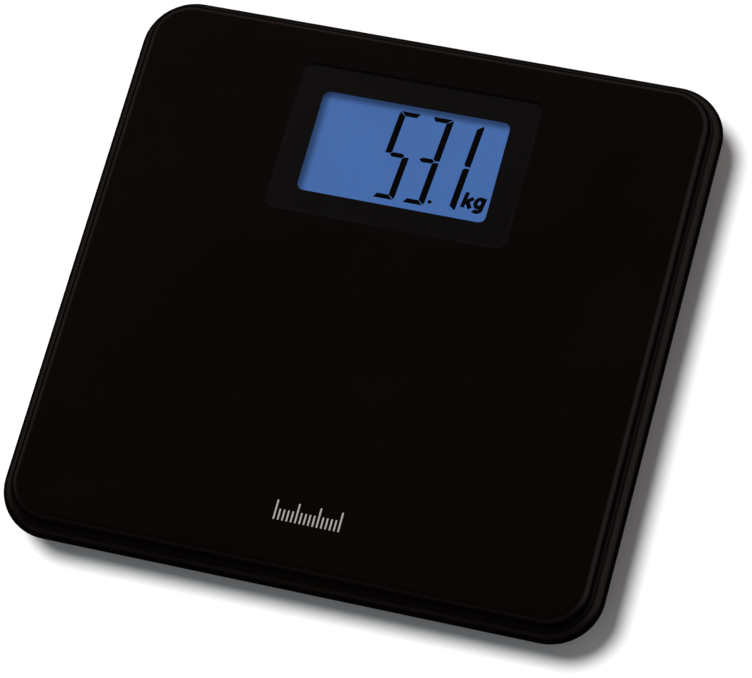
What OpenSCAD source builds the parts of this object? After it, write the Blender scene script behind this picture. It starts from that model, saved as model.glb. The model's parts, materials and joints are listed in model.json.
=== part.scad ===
// Digital bathroom scale: a moulded platform on a lower case that stands on four load cell feet.
// The origin is at the middle of the footprint on the floor, +X is to the user's right,
// +Y points to the display end and +Z is up. All sizes are in millimetres.

/* [Body] */
// Overall width
body_w = 300; // [290:1:320]
// Overall depth, front edge to display edge
body_d = 293; // [285:1:310]
// Height of the standing surface above the floor
body_h = 33; // [33:0.5:36]
// Height of the standing surface above the widest line of the rim
platform_rise = 12.7; // [12:0.1:13.5]
// Plan radius of the outer corners
corner_r = 26; // [22:1:30]
// Gap between the floor and the underside
ground_gap = 6; // [5.5:0.1:6.5]
// Wall of the lower case
case_wall = 2.2; // [2:0.1:2.4]
// Wall of the platform cover
cover_wall = 2.4; // [2:0.1:2.6]

/* [Rim] */
// Radius of the rounded rim bead
bead_r = 5.2; // [4.5:0.1:5.6]
// Gap between the rim bead and the platform wall
part_gap = 0.5; // [0.4:0.1:1]
// Radius where the platform wall turns into the standing surface
platform_fillet = 3.8; // [2:0.1:4.5]
// Slope of the lower case side, in degrees from upright
side_slope = 28; // [22:1:32]

/* [Display] */
// Width of the display window
window_w = 122; // [116:0.5:124]
// Depth of the display window
window_d = 79.6; // [74:0.2:82]
// Corner radius of the display window
window_r = 4.5; // [2:0.5:8]
// Distance from the body's middle to the window's middle
window_y = 80; // [78:1:84]
// Width of the clear part of the window
view_w = 96.2; // [90:0.2:98]
// Depth of the clear part of the window
view_d = 54.6; // [50:0.2:56]
// Shift of the clear part towards the user
view_shift = 0.7; // [0:0.1:1]

/* [Feet] */
// Distance from each outer side to a foot's middle
foot_inset = 40; // [40:1:46]
// Outer radius of the foot cup below its flange
foot_r = 17.3; // [15:0.1:17.3]
// Gap between a foot's flange and the lip that stops it from dropping out
flange_gap = 0.5; // [0.4:0.1:1]

/* [Battery bay] */
// Middle of the battery bay, along the depth
bay_y = -10; // [-20:1:-6]
// Number of AA cells side by side
cell_count = 4; // [2:1:4]

/* [Unit button] */
// Distance to the right of the middle
button_x = 32; // [20:1:44]
// Distance towards the display end
button_y = 66; // [58:1:90]

/* [Hidden] */
$fn = 96;

// ---- Levels, from the floor up ----
case_z = ground_gap;
floor_z = case_z + case_wall;
rim_z = body_h - platform_rise;
ceiling_z = body_h - cover_wall;
cell_z0 = 14.5;
cell_z1 = 17.5;
roof_z = cell_z1 + 2;
seam_z = 20;
case_rib_z = floor_z + 4.8;
cover_rib_z = 25.6;
window_z0 = body_h - 1.6;
window_z1 = body_h - 0.1;
mask_t = 0.2;
pocket_z = window_z0 - mask_t;
ledge_z = pocket_z - 2;
board_z0 = 20.6;
board_z1 = 22.2;
lcd_z0 = 26.2;
lcd_z1 = ledge_z - 0.2;

// ---- Edge section of the lower case ----
// Bottom edge radius and its centre, tangent to the sloping side
low_r = 4;
low_z = case_z + low_r;
slope_len = ((rim_z - bead_r * sin(side_slope)) - (low_z - low_r * sin(side_slope))) / cos(side_slope);
low_w = bead_r + (low_r - bead_r) * cos(side_slope) + slope_len * sin(side_slope);
floor_overlap = 4.5;

// ---- Ribs ----
rib_t = 1.6;
rib_pitch = 28;
rib_lines = [for (i = [-4.5:1:4.5]) i * rib_pitch];
rib_span = 270;

// ---- Feet and their wells ----
well_r = 26;
well_wall = 2;
retainer_r = well_r - 0.3;
cup_gap = 0.5;
flange_r = foot_r + 2.4;
flange_t = 2;
lip_t = 2;
lip_z0 = case_z + 0.4;
flange_z = lip_z0 + lip_t + flange_gap;
pad_t = 2.4;
spigot_r = 8;
spigot_h = 2;
post_x = 22.9;
roof_window = [20, 28];
load_ring_r = 19.5;
load_ring_wall = 2;
lead_slot = [6, 4.5];

// ---- Screws ----
case_screw_points = [
    [-126, -42], [126, -42], [-126, 42], [126, 42],
    [-42, -130], [42, -130], [-42, 130], [42, 130],
    [-70, -14], [70, -14]
];
case_bore_r = 3.2;
seat_z = 16.6;
board_screw_x = 59.5;
board_screw_dy = 28;

// ---- Battery bay ----
cell_pitch = 15;
aa_r = 7.1;
aa_len = 50.5;
aa_nub = 1.3;
aa_nub_r = 2.75;
bay_w = cell_count * cell_pitch + 2;
bay_d = 58;
bay_wall = 2;
bay_top = 24.9;
bay_roof = 1.6;
bay_ledge = 4;
door_t = 2;
door_gap = 0.4;
door_w = bay_w + 2 * bay_ledge - 2 * door_gap;
door_d = bay_d + 2 * bay_ledge - 2 * door_gap;
hinge_r = 1.4;
hinge_y = bay_y - door_d / 2 + hinge_r;
hinge_z = case_z + hinge_r;
pin_r = 0.8;
pin_len = 2.4;
pin_fit = 0.08;
aa_z = floor_z + 0.2 + aa_r + 0.15;
plate_t = 0.5;

// ---- Unit button ----
button_r = 4.2;
button_flange_r = 5.6;
stem_r = 2.5;
plunger_z = 16;
switch_z = 17;

// ---- Display stack ----
lcd_w = 105.6;
lcd_d = 63.6;
holder_wall = 2;

// ---- Shared shapes ----

// Rectangle with round corners
module rounded_rect(w, d, r) {
    square([w - 2 * r, d], center = true);
    square([w, d - 2 * r], center = true);
    for (x = [-1, 1], y = [-1, 1])
        translate([x * (w / 2 - r), y * (d / 2 - r)]) circle(r);
}

// Flat plate with round corners between two levels
module plate(w, d, r, z0, z1) {
    translate([0, 0, z0]) linear_extrude(z1 - z0) rounded_rect(w, d, r);
}

// Block between two levels, centred on the Z axis
module block(w, d, z0, z1) {
    translate([-w / 2, -d / 2, z0]) cube([w, d, z1 - z0]);
}

// Cylinder between two levels
module post(r, z0, z1) {
    translate([0, 0, z0]) cylinder(r = r, h = z1 - z0);
}

// Sweeps a section round the body's edge: its x is the distance outward from a corner's centre
module around_edge() {
    ax = body_w / 2 - corner_r;
    ay = body_d / 2 - corner_r;
    for (k = [0:3]) {
        across = k % 2 == 0 ? ax : ay;
        along = k % 2 == 0 ? ay : ax;
        rotate(90 * k) translate([across, along, 0]) {
            rotate_extrude(angle = 90) children();
            rotate([90, 0, 0]) linear_extrude(2 * along) children();
        }
    }
}

// Repeats a shape at the four feet: s is -1 or 1 for left or right, t for front or rear
function foot_at(s, t) = [s * (body_w / 2 - foot_inset), t * (body_d / 2 - foot_inset), 0];

module at_feet() {
    for (s = [-1, 1], t = [-1, 1]) at_foot(s, t) children();
}

// Places a shape at one foot, turned so that its +Y points to the body's middle
module at_foot(s, t) {
    translate(foot_at(s, t)) mirror([0, t > 0 ? 1 : 0, 0]) children();
}

// Crossing ribs between two levels
module rib_grid(z0, z1) {
    for (p = rib_lines) {
        translate([p, 0, 0]) block(rib_t, rib_span, z0, z1);
        translate([0, p, 0]) block(rib_span, rib_t, z0, z1);
    }
}

// ---- Lead routes ----

// Catmull-Rom point between b and c
function blend4(a, b, c, d, t) =
    0.5 * ((2 * b) + (c - a) * t + (2 * a - 5 * b + 4 * c - d) * t * t
    + (3 * b - a - 3 * c + d) * t * t * t);

// Smooth run of points through a route, with a few steps for each stretch
function smooth_route(p, steps) = [
    for (i = [0:len(p) - 2], k = [0:steps - 1])
        blend4(p[max(i - 1, 0)], p[i], p[i + 1], p[min(i + 2, len(p) - 1)], k / steps),
    p[len(p) - 1]
];

function unit(v) = v / norm(v);

// Direction of a run of points at point i
function heading(p, i) = unit(p[min(i + 1, len(p) - 1)] - p[max(i - 1, 0)]);

// Side direction that stays square to the heading and keeps clear of the vertical
function side_of(h) = unit(cross(h, abs(h[2]) > 0.9 ? [1, 0, 0] : [0, 0, 1]));

// Side direction carried along the run, so that the rings never twist
function carried(p, i) =
    i == 0 ? side_of(heading(p, 0))
    : let (h = heading(p, i), s = carried(p, i - 1)) unit(s - h * (s * h));

// Round tube along a run of points
module tube_along(p, r, sides = 8) {
    rings = [
        for (i = [0:len(p) - 1])
            let (h = heading(p, i), u = carried(p, i), v = cross(h, u))
            for (k = [0:sides - 1])
                p[i] + r * (cos(360 * k / sides) * u + sin(360 * k / sides) * v)
    ];
    last = (len(p) - 1) * sides;
    walls = [
        for (i = [0:len(p) - 2], k = [0:sides - 1])
            let (a = i * sides + k, b = i * sides + (k + 1) % sides)
            [a, a + sides, b + sides, b]
    ];
    start_cap = [for (k = [0:sides - 1]) k];
    end_cap = [for (k = [sides - 1:-1:0]) last + k];
    polyhedron(points = rings, faces = concat([start_cap], walls, [end_cap]), convexity = 8);
}

lead_r = 1.2;
lead_steps = 4;
lead_z = case_rib_z + lead_r + 0.2;

// Route from a front load cell to the board, on the right-hand side
front_lead = [
    [110, -98, 20.4], [110, -93, 21], [110, -86, 21.2], [107, -79, 21], [101, -73, 17.5],
    [92, -67, lead_z], [78, -56, lead_z], [60, -38, lead_z], [56, -10, lead_z],
    [55, 20, lead_z], [52, 38, lead_z], [50, 47, 15.4], [49, 51, 17.4], [49, 52, 19.4]
];

// Route from a rear load cell to the board, on the right-hand side
rear_lead = [
    [110, 98, 20.4], [110, 93, 21], [110, 86, 21.2], [106, 79, 21], [98, 74, 17.5],
    [88, 70, lead_z], [74, 67, lead_z], [62, 64, 15.2], [57, 63, 17.2], [56, 63, 19.4]
];

// Route from the battery bay to the board, on the right-hand side
battery_lead = [
    [22.5, 24, aa_z], [22, 28, 16], [19, 34, 15.5], [15, 40, 15.2], [12, 45, 15.8],
    [11, 48, 17.4], [11, 49, 19.4]
];

// ---- Lower case ----

// Outline of the lower case's edge, moved inward by inset
module case_outline(inset) {
    x_bead = corner_r - bead_r;
    x_low = corner_r - low_w;
    x_in = x_low - floor_overlap;
    out = [cos(side_slope), -sin(side_slope)];
    translate([x_bead, rim_z]) circle(bead_r - inset);
    translate([x_low, low_z]) circle(low_r - inset);
    polygon([
        [x_bead, rim_z] + (bead_r - inset) * out,
        [x_bead, rim_z + bead_r - inset],
        [x_in, rim_z + bead_r - inset],
        [x_in, case_z + inset],
        [x_low, case_z + inset],
        [x_low, low_z] + (low_r - inset) * out
    ]);
}

module case_wall_section() {
    difference() {
        case_outline(0);
        case_outline(case_wall);
        translate([0, rim_z]) square([corner_r - bead_r, platform_rise]);
    }
}

module case_floor() {
    plate(body_w - 2 * low_w, body_d - 2 * low_w, corner_r - low_w, case_z, floor_z);
}

// Walls and roof of the battery bay, with the ledge that the door's edge lies under
module bay_box() {
    translate([0, bay_y, 0]) {
        block(bay_w + 2 * bay_wall, bay_d + 2 * bay_wall, floor_z, bay_top);
        block(bay_w + 4 * bay_ledge, bay_d + 4 * bay_ledge - 4, floor_z, floor_z + 2);
    }
}

module bay_cuts() {
    translate([0, bay_y, 0]) {
        block(bay_w, bay_d, case_z, bay_top - bay_roof);
        plate(bay_w + 2 * bay_ledge, bay_d + 2 * bay_ledge, 2.5, case_z - 1, floor_z);
        translate([0, -bay_d / 2 - bay_ledge / 2, 0])
            block(bay_w + 2 * bay_ledge, bay_ledge, case_z - 1, floor_z);
    }
    // Groove and bores of the door hinge
    translate([0, hinge_y, hinge_z]) rotate([0, 90, 0]) {
        cylinder(r = hinge_r + door_gap, h = door_w, center = true);
        cylinder(r = pin_r + pin_fit, h = door_w + 2 * pin_len + 1, center = true);
    }
    // Groove for the door's snap bead
    translate([0, bay_y + door_d / 2 + door_gap, hinge_z]) rotate([0, 90, 0])
        cylinder(r = 0.4, h = 16, center = true);
    // Slots for the two end contacts
    for (s = [-1, 1]) translate([s * (cell_count - 1) * cell_pitch / 2, bay_y + bay_d / 2, aa_z])
        cube([4.4, 3 * bay_wall, 0.9], center = true);
}

module foot_well() {
    post(well_r + well_wall, case_z, roof_z);
}

module foot_well_cuts() {
    post(well_r, case_z - 1, cell_z1);
    block(roof_window[0], roof_window[1], cell_z1 - 1, roof_z + 1);
    retainer_pilots();
}

// Pilot holes of the retainer screws
module retainer_pilots() {
    for (s = [-1, 1]) translate([s * post_x, 0, 0]) post(0.95, cell_z1 - 1, roof_z + 3);
}

module button_cuts() {
    translate([button_x, button_y, 0]) {
        post(button_r + 0.3, case_z - 1, floor_z + 1);
        post(button_r + 2.4, case_z - 1, case_z + 0.6);
    }
}

// Shallow grooves on the underside, and a blank label recess
module underside_cuts() {
    translate([0, -84, 0]) plate(96, 34, 3, case_z - 1, case_z + 0.3);
    for (s = [-1, 1], k = [0:2])
        translate([s * (58 + 9 * k), 30, 0]) plate(3, 70, 1.4, case_z - 1, case_z + 0.7);
}

module base_tray() {
    color([0.03, 0.03, 0.03])
    difference() {
        union() {
            around_edge() case_wall_section();
            case_floor();
            at_feet() foot_well();
            bay_box();
        }
        at_feet() foot_well_cuts();
        for (p = case_screw_points) translate(p) post(case_bore_r, case_z - 1, floor_z + 1);
        bay_cuts();
        button_cuts();
        underside_cuts();
    }
}

// Inner structure moulded on the floor: ribs, screw bosses, retainer screw posts, button guide
module case_ribs() {
    color([0.04, 0.04, 0.04])
    difference() {
        union() {
            difference() {
                rib_grid(floor_z, case_rib_z);
                at_feet() post(well_r + well_wall, floor_z - 1, roof_z);
                translate([0, bay_y, 0])
                    block(bay_w + 4 * bay_ledge, bay_d + 4 * bay_ledge - 4, floor_z - 1, seam_z);
            }
            for (p = case_screw_points) translate(p) post(4.6, floor_z, seam_z);
            at_feet() for (s = [-1, 1])
                translate([s * post_x, 0, 0]) post(2.6, roof_z, roof_z + 3.5);
            translate([button_x, button_y, 0]) post(button_flange_r + 2, floor_z, floor_z + 4);
        }
        for (p = case_screw_points) translate(p) {
            post(case_bore_r, floor_z - 1, seat_z);
            post(1.7, seat_z - 1, seam_z + 1);
        }
        at_feet() retainer_pilots();
        translate([button_x, button_y, 0]) post(button_flange_r + 0.4, floor_z - 1, floor_z + 5);
    }
}

// ---- Platform cover ----

module cover_outline(inset, bottom) {
    x_wall = corner_r - bead_r - part_gap - inset;
    x_fillet = corner_r - bead_r - part_gap - platform_fillet;
    x_in = x_fillet - floor_overlap;
    z_fillet = body_h - platform_fillet;
    translate([x_fillet, z_fillet]) circle(platform_fillet - inset);
    polygon([
        [x_wall, bottom], [x_wall, z_fillet], [x_fillet, body_h - inset],
        [x_in, body_h - inset], [x_in, bottom]
    ]);
}

module cover_wall_section() {
    skirt_z = 16;
    difference() {
        cover_outline(0, skirt_z);
        cover_outline(cover_wall, skirt_z - 1);
    }
}

// Ring under the cover that stands on a foot well and carries the load to it
module load_ring() {
    difference() {
        post(load_ring_r, roof_z, ceiling_z);
        post(load_ring_r - load_ring_wall, roof_z - 1, ceiling_z);
        block(lead_slot[0], 3 * load_ring_r, roof_z - 1, roof_z + lead_slot[1]);
        block(3 * load_ring_r, lead_slot[0], roof_z - 1, roof_z + lead_slot[1]);
    }
}

module at_board_screws() {
    for (s = [-1, 1], t = [-1, 1])
        translate([s * board_screw_x, window_y + t * board_screw_dy, 0]) children();
}

module platform_cover() {
    field_w = 2 * (bead_r + part_gap + platform_fillet);
    color([0.02, 0.02, 0.02])
    difference() {
        union() {
            around_edge() cover_wall_section();
            plate(body_w - field_w, body_d - field_w, corner_r - field_w / 2, ceiling_z, body_h);
            translate([0, window_y, 0])
                plate(window_w + 5, window_d + 5, window_r + 2, ledge_z, ceiling_z + 0.5);
        }
        translate([0, window_y, 0]) {
            plate(window_w + 0.8, window_d + 0.8, window_r + 0.4, pocket_z, body_h + 1);
            translate([0, -view_shift, 0]) plate(view_w + 4, view_d + 4, 4, ledge_z - 1, body_h);
        }
    }
}

// Inner structure moulded under the cover: ribs, load rings, screw posts, board posts
module cover_ribs() {
    color([0.04, 0.04, 0.04])
    difference() {
        union() {
            difference() {
                rib_grid(cover_rib_z, ceiling_z);
                translate([0, window_y, 0]) block(132, 88, cover_rib_z - 1, ceiling_z + 1);
            }
            at_feet() load_ring();
            for (p = case_screw_points) translate(p) post(3.6, seam_z, ceiling_z);
            at_board_screws() post(3, board_z1, ledge_z);
        }
        for (p = case_screw_points) translate(p) post(1.4, seam_z - 1, ceiling_z - 2);
        at_board_screws() post(1.15, board_z1 - 1, ledge_z - 1);
    }
}

// ---- Display ----

module display_window() {
    color([0.1, 0.1, 0.11, 0.5]) translate([0, window_y, 0])
        plate(window_w, window_d, window_r, window_z0, window_z1);
}

module window_mask() {
    color([0.02, 0.02, 0.02]) translate([0, window_y, 0]) difference() {
        plate(window_w - 0.8, window_d - 0.8, window_r - 0.4, pocket_z, window_z0);
        translate([0, -view_shift, 0]) plate(view_w, view_d, 3.5, pocket_z - 1, window_z0 + 1);
    }
}

module lcd_panel() {
    color([0.27, 0.43, 0.68]) translate([0, window_y, 0]) block(lcd_w, lcd_d, lcd_z0, lcd_z1);
}

module lcd_holder() {
    color("white") translate([0, window_y, 0]) difference() {
        plate(lcd_w + 0.4 + 2 * holder_wall, lcd_d + 0.4 + 2 * holder_wall, 2, board_z1, ledge_z);
        block(lcd_w + 0.4, lcd_d + 0.4, lcd_z0, ledge_z + 1);
        block(lcd_w - 3.6, lcd_d - 3.6, board_z1 - 1, lcd_z0 + 1);
    }
}

module backlight_panel() {
    color([0.75, 0.85, 1]) translate([2, window_y + 2.2, 0]) block(96, 54.6, board_z1 + 0.2, lcd_z0 - 0.2);
}

module backlight_leds() {
    color([1, 0.95, 0.7]) for (k = [-1:1])
        translate([-48.6, window_y + 2 + 16 * k, 0]) block(2.6, 3.2, board_z1, board_z1 + 1.9);
}

module zebra_strip() {
    color([0.35, 0.35, 0.37]) translate([0, window_y - 28.2, 0]) block(96, 3, board_z1, lcd_z0);
}

// ---- Circuit board and unit switch ----

module main_board() {
    color([0.05, 0.3, 0.14]) difference() {
        translate([0, window_y, 0]) plate(127, 72, 2, board_z0, board_z1);
        at_board_screws() post(1.3, board_z0 - 1, board_z1 + 1);
    }
}

module controller_chip() {
    blob_r = 9;
    color([0.05, 0.05, 0.05]) translate([-12, window_y + 4, board_z0]) rotate_extrude() polygon([
        [0, 0], [blob_r, 0], [blob_r - 0.6, -1], [blob_r - 2.4, -1.7], [blob_r - 5, -2.1], [0, -2.2]
    ]);
}

module board_parts() {
    color([0.2, 0.2, 0.22]) translate([0, window_y, 0]) {
        translate([14, -8, 0]) block(10, 4, board_z0 - 1.5, board_z0);
        translate([30, 16, 0]) post(2.5, board_z0 - 5, board_z0);
        translate([38, 16, 0]) post(2.5, board_z0 - 5, board_z0);
        translate([-34, 12, 0]) block(3.2, 8, board_z0 - 3, board_z0);
        for (k = [0:5]) translate([-40 + 6 * k, -14, 0]) block(1.2, 2, board_z0 - 0.7, board_z0);
        for (k = [0:4]) translate([12 + 5 * k, 4, 0]) block(2, 1.2, board_z0 - 0.7, board_z0);
    }
}

module switch_housing() {
    color([0.1, 0.1, 0.1]) translate([button_x, button_y, 0]) difference() {
        block(6.2, 6.2, switch_z, board_z0);
        post(1.85, switch_z - 1, board_z0 - 0.4);
    }
}

module switch_plunger() {
    color([0.75, 0.1, 0.1]) translate([button_x, button_y, 0]) post(1.7, plunger_z, switch_z + 2);
}

module unit_button() {
    color([0.45, 0.46, 0.48]) translate([button_x, button_y, 0]) rotate_extrude() polygon([
        [0, case_z + 0.9], [button_r - 2, case_z + 0.9], [button_r - 1.2, case_z + 0.5],
        [button_r - 0.5, case_z + 0.5],
        [button_r, case_z + 1], [button_r, floor_z], [button_flange_r, floor_z],
        [button_flange_r, floor_z + 1], [stem_r, floor_z + 1.6], [stem_r, plunger_z], [0, plunger_z]
    ]);
}

// ---- Batteries, contacts and door ----

// x of a cell, and the direction its positive end points along Y
function aa_x(i) = (i - (cell_count - 1) / 2) * cell_pitch;
function aa_dir(i) = i % 2 == 0 ? 1 : -1;

plus_y = bay_d / 2 - plate_t;
minus_y = plus_y - aa_len;

// Places a shape at a cell, with its +Y towards the cell's positive end
module at_aa(i) {
    translate([aa_x(i), bay_y, aa_z]) rotate(aa_dir(i) > 0 ? 0 : 180) children();
}

module battery(i) {
    color([0.25, 0.27, 0.3]) at_aa(i) translate([0, minus_y, 0]) rotate([-90, 0, 0]) {
        can_len = aa_len - aa_nub;
        rotate_extrude() polygon([
            [0, 0], [5, 0], [5.2, 0.4], [aa_r - 0.5, 0.4], [aa_r, 0.9],
            [aa_r, can_len - 0.9], [aa_r - 0.5, can_len - 0.3], [aa_nub_r + 0.4, can_len - 0.3],
            [aa_nub_r, can_len], [aa_nub_r, aa_len - 0.3], [aa_nub_r - 0.3, aa_len], [0, aa_len]
        ]);
    }
}

module battery_springs() {
    turns = 4.5;
    steps = 14;
    wire_r = 0.35;
    y0 = -bay_d / 2 + plate_t + wire_r;
    y1 = minus_y - wire_r - 0.05;
    coil = [
        for (k = [0:turns * steps])
            let (f = k / (turns * steps), a = 360 * k / steps, r = 4.4 - 1.6 * f)
            [r * cos(a), y0 + (y1 - y0) * f, r * sin(a)]
    ];
    color("silver") for (i = [0:cell_count - 1]) at_aa(i) tube_along(coil, wire_r);
}

// Contact plates at both ends of the bay: pairs are joined, the two rear end plates have a lead tab
module contact_plates() {
    plate_w = cell_pitch - 3;
    plate_h = 10;
    color("silver") {
        for (i = [0:cell_count - 1], t = [-1, 1])
            translate([aa_x(i), bay_y + t * (bay_d - plate_t) / 2, aa_z])
                cube([plate_w, plate_t, plate_h], center = true);
        for (i = [0:2:cell_count - 2])
            translate([aa_x(i) + cell_pitch / 2, bay_y - (bay_d - plate_t) / 2, aa_z])
                cube([cell_pitch, plate_t, 4], center = true);
        for (i = [1:2:cell_count - 3])
            translate([aa_x(i) + cell_pitch / 2, bay_y + (bay_d - plate_t) / 2, aa_z])
                cube([cell_pitch, plate_t, 4], center = true);
        for (s = [-1, 1])
            translate([s * (cell_count - 1) * cell_pitch / 2, bay_y + bay_d / 2 + 2.25, aa_z])
                cube([4, 5.5, plate_t], center = true);
    }
}

module battery_door() {
    door_top = case_z + door_t;
    color([0.03, 0.03, 0.03]) difference() {
        union() {
            translate([-door_w / 2, hinge_y, case_z]) cube([door_w, door_d - hinge_r - 4, door_t]);
            translate([0, bay_y + door_d / 2 - 10, 0]) plate(door_w, 20, 2.2, case_z, door_top);
            translate([0, hinge_y, hinge_z]) rotate([0, 90, 0]) {
                cylinder(r = hinge_r, h = door_w, center = true);
                cylinder(r = pin_r, h = door_w + 2 * pin_len, center = true);
            }
            translate([0, bay_y + door_d / 2 - 0.25, hinge_z]) rotate([0, 90, 0])
                cylinder(r = 0.5, h = 14, center = true);
        }
        // Finger scoop and the slits of the snap tongue
        translate([0, bay_y + door_d / 2 - 6, 0]) post(6, case_z - 1, case_z + 0.8);
        for (s = [-1, 1]) translate([s * 9, bay_y + door_d / 2 - 6, 0])
            block(0.8, 14, case_z - 1, door_top + 1);
    }
}

// ---- Screws ----

// Pan head screw pointing up, with its head below z and a cross recess
module screw(z, head_r, head_h, shank_r, len) {
    difference() {
        post(head_r, z - head_h, z);
        block(head_r * 1.3, head_r * 0.3, z - head_h - 1, z - head_h / 2);
        block(head_r * 0.3, head_r * 1.3, z - head_h - 1, z - head_h / 2);
    }
    post(shank_r, z, z + len - 1);
    translate([0, 0, z + len - 1]) cylinder(r1 = shank_r, r2 = shank_r / 3, h = 1);
}

module case_screws() {
    color("silver") for (p = case_screw_points) translate(p) screw(seat_z, 2.9, 2.2, 1.35, 11);
}

module retainer_screws() {
    color("silver") at_feet() for (s = [-1, 1])
        translate([s * post_x, 0, 0]) screw(lip_z0 + 2.6, 1.9, 1.6, 0.9, 12.5);
}

module board_screws() {
    color("silver") at_board_screws() screw(board_z0, 2.2, 1.6, 1.1, 6.5);
}

// ---- Load cells ----

// Half-bridge plate: a frame with a tongue cut free on three sides and narrowed at its root
module load_cell(s, t) {
    side = 34;
    tongue_w = 14;
    slot = 2;
    root_y = 9;
    color([0.75, 0.76, 0.78]) at_foot(s, t) difference() {
        plate(side, side, 2.5, cell_z0, cell_z1);
        for (k = [-1, 1]) translate([k * (tongue_w + slot) / 2, (root_y - 13) / 2, 0])
            block(slot, root_y + 13, cell_z0 - 1, cell_z1 + 1);
        translate([0, -12, 0]) block(tongue_w + 2 * slot, slot, cell_z0 - 1, cell_z1 + 1);
        for (k = [-1, 1]) translate([k * 6.5, 5.5, 0]) post(2, cell_z0 - 1, cell_z1 + 1);
        for (k = [-1, 1]) translate([k * 13, 13, 0]) post(1.6, cell_z0 - 1, cell_z1 + 1);
    }
}

module strain_gauges() {
    color([0.8, 0.6, 0.2]) at_feet() for (k = [-1, 1])
        translate([k * 2.1, 5.5, 0]) block(3.4, 6, cell_z1, cell_z1 + 0.2);
}

module gauge_coats() {
    color("white") at_feet() translate([0, 5.5, 0]) plate(9.4, 9, 2.4, cell_z1 + 0.2, cell_z1 + 1.4);
}

// Ring that holds a load cell up in its well and stops the foot's flange from dropping out
module cell_retainer(s, t) {
    color([0.1, 0.1, 0.1]) at_foot(s, t) difference() {
        union() {
            rotate_extrude() polygon([
                [foot_r + cup_gap, lip_z0], [retainer_r, lip_z0], [retainer_r, cell_z0 - 0.2],
                [flange_r + 0.6, cell_z0 - 0.2], [flange_r + 0.6, lip_z0 + lip_t],
                [foot_r + cup_gap, lip_z0 + lip_t]
            ]);
            for (k = [-1, 1]) translate([k * post_x, 0, 0]) post(2.4, lip_z0 + 4, cell_z1 - 0.1);
        }
        for (k = [-1, 1]) translate([k * post_x, 0, 0]) {
            post(1.15, lip_z0 - 1, cell_z1 + 1);
            post(2.1, lip_z0 - 1, lip_z0 + 2.6);
        }
    }
}

// ---- Feet ----

module foot_cup(s, t) {
    color([0.08, 0.08, 0.08]) at_foot(s, t) rotate_extrude() polygon([
        [0, pad_t + spigot_h + 0.1], [spigot_r + 0.1, pad_t + spigot_h + 0.1],
        [spigot_r + 0.1, pad_t], [foot_r - 0.4, pad_t], [foot_r, pad_t + 0.4],
        [foot_r, flange_z], [flange_r, flange_z], [flange_r, flange_z + flange_t],
        [6, flange_z + flange_t], [6, cell_z0 - 0.5], [5.5, cell_z0], [0, cell_z0]
    ]);
}

// Rubber pad with two contact rings and a spigot that holds it in the cup
module foot_pad(s, t) {
    pad_r = foot_r - 0.5;
    groove = 0.8;
    color([0.2, 0.2, 0.2]) at_foot(s, t) rotate_extrude() polygon([
        [0, groove], [7, groove], [7.6, 0], [10.4, 0], [10.8, groove], [11.8, groove],
        [12.2, 0], [pad_r - 1, 0], [pad_r, 1], [pad_r, pad_t], [spigot_r, pad_t],
        [spigot_r, pad_t + spigot_h], [0, pad_t + spigot_h]
    ]);
}

// ---- Leads ----

// A lead along a route, with an upright end on the underside of the board
module lead(route, s, tint) {
    run = smooth_route(route, lead_steps);
    top = run[len(run) - 1];
    color(tint) mirror([s < 0 ? 1 : 0, 0, 0])
        tube_along(concat(run, [[top[0], top[1], board_z0]]), lead_r);
}

platform_cover();
cover_ribs();
base_tray();
case_ribs();
display_window();
window_mask();
lcd_panel();
lcd_holder();
backlight_panel();
backlight_leds();
zebra_strip();
main_board();
controller_chip();
board_parts();
switch_housing();
switch_plunger();
unit_button();
battery(0);  // battery_1
battery(1);  // battery_2
battery(2);  // battery_3
battery(3);  // battery_4
battery_springs();
contact_plates();
battery_door();
case_screws();
retainer_screws();
board_screws();
load_cell(-1, -1);  // load_cell_front_left
load_cell(1, -1);  // load_cell_front_right
load_cell(-1, 1);  // load_cell_rear_left
load_cell(1, 1);  // load_cell_rear_right
strain_gauges();
gauge_coats();
cell_retainer(-1, -1);  // cell_retainer_front_left
cell_retainer(1, -1);  // cell_retainer_front_right
cell_retainer(-1, 1);  // cell_retainer_rear_left
cell_retainer(1, 1);  // cell_retainer_rear_right
foot_cup(-1, -1);  // foot_cup_front_left
foot_cup(1, -1);  // foot_cup_front_right
foot_cup(-1, 1);  // foot_cup_rear_left
foot_cup(1, 1);  // foot_cup_rear_right
foot_pad(-1, -1);  // foot_pad_front_left
foot_pad(1, -1);  // foot_pad_front_right
foot_pad(-1, 1);  // foot_pad_rear_left
foot_pad(1, 1);  // foot_pad_rear_right
lead(front_lead, -1, "gray");  // cell_lead_front_left
lead(front_lead, 1, "gray");  // cell_lead_front_right
lead(rear_lead, -1, "gray");  // cell_lead_rear_left
lead(rear_lead, 1, "gray");  // cell_lead_rear_right
lead(battery_lead, -1, "firebrick");  // battery_lead_red
lead(battery_lead, 1, "black");  // battery_lead_black
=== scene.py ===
"""Looks of a digital bathroom scale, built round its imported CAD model.

+Z up, +Y to the display. Sizes in this file are in millimetres, and MM turns them into metres.
"""

import json
import math

import bmesh
import bpy
from mathutils import Matrix, Vector


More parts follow.
